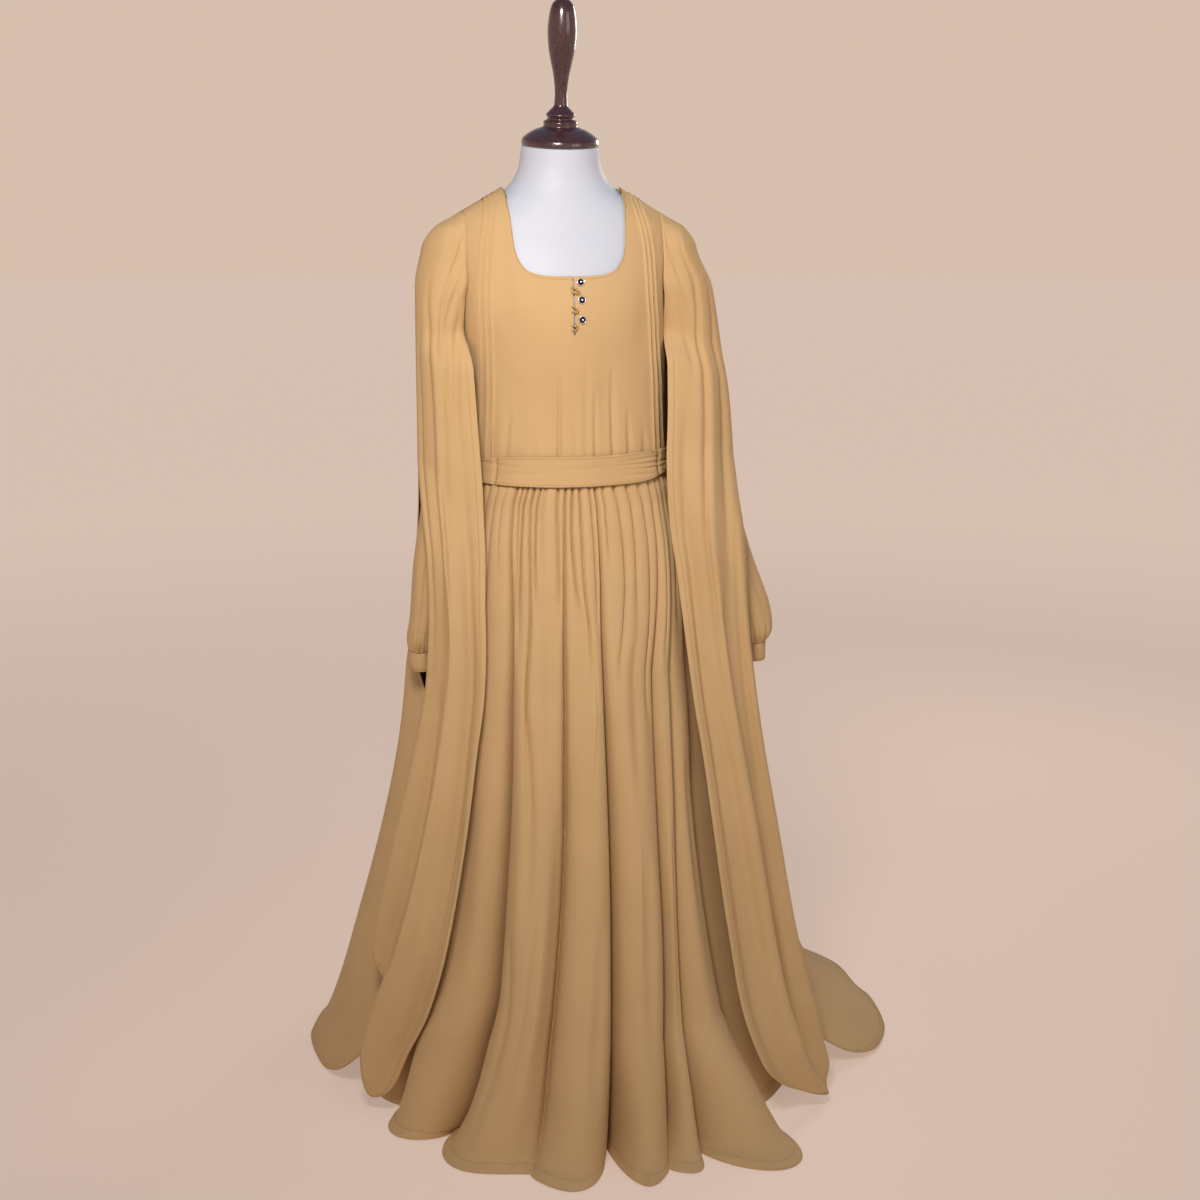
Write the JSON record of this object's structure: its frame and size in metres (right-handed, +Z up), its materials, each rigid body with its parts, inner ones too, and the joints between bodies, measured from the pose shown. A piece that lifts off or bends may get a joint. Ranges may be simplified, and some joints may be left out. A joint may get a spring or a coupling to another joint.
{
  "type": "cape abaya dress on a limbless dress form",
  "caption": "Full-length belted dress with a pleated skirt and a cape sewn over the shoulders, on a limbless dress form with a turned neck cap.",
  "frame": {"origin": "centre of the stand base's underside, on the floor", "axes": "+Z up along the pole, -Y towards the garment's front, +X towards the viewer's right seen from the front"},
  "size_m": [1.0043, 1.0639, 1.7173],
  "materials": {
    "crepe": "matte woven crepe",
    "form_cover": "smooth pale matte cover",
    "dark_wood": "glossy dark varnish",
    "stand_steel": "satin black paint",
    "pewter": "dark polished pewter"
  },
  "bodies": {
    "root": {"bodice_front": "crepe", "bodice_back": "crepe", "skirt_front": "crepe", "skirt_back": "crepe", "belt": "crepe", "sleeve_left": "crepe", "sleeve_right": "crepe", "cuff_left": "crepe", "cuff_right": "crepe", "cape_front_left": "crepe", "cape_front_right": "crepe", "cape_back": "crepe", "button_loop_1": "crepe", "button_loop_2": "crepe", "button_loop_3": "crepe", "button_1": "pewter", "button_2": "pewter", "button_3": "pewter", "form_torso": "form_cover", "form_neck_cap": "dark_wood", "stand_pole": "stand_steel", "stand_base": "stand_steel"}
  },
  "joints": []
}
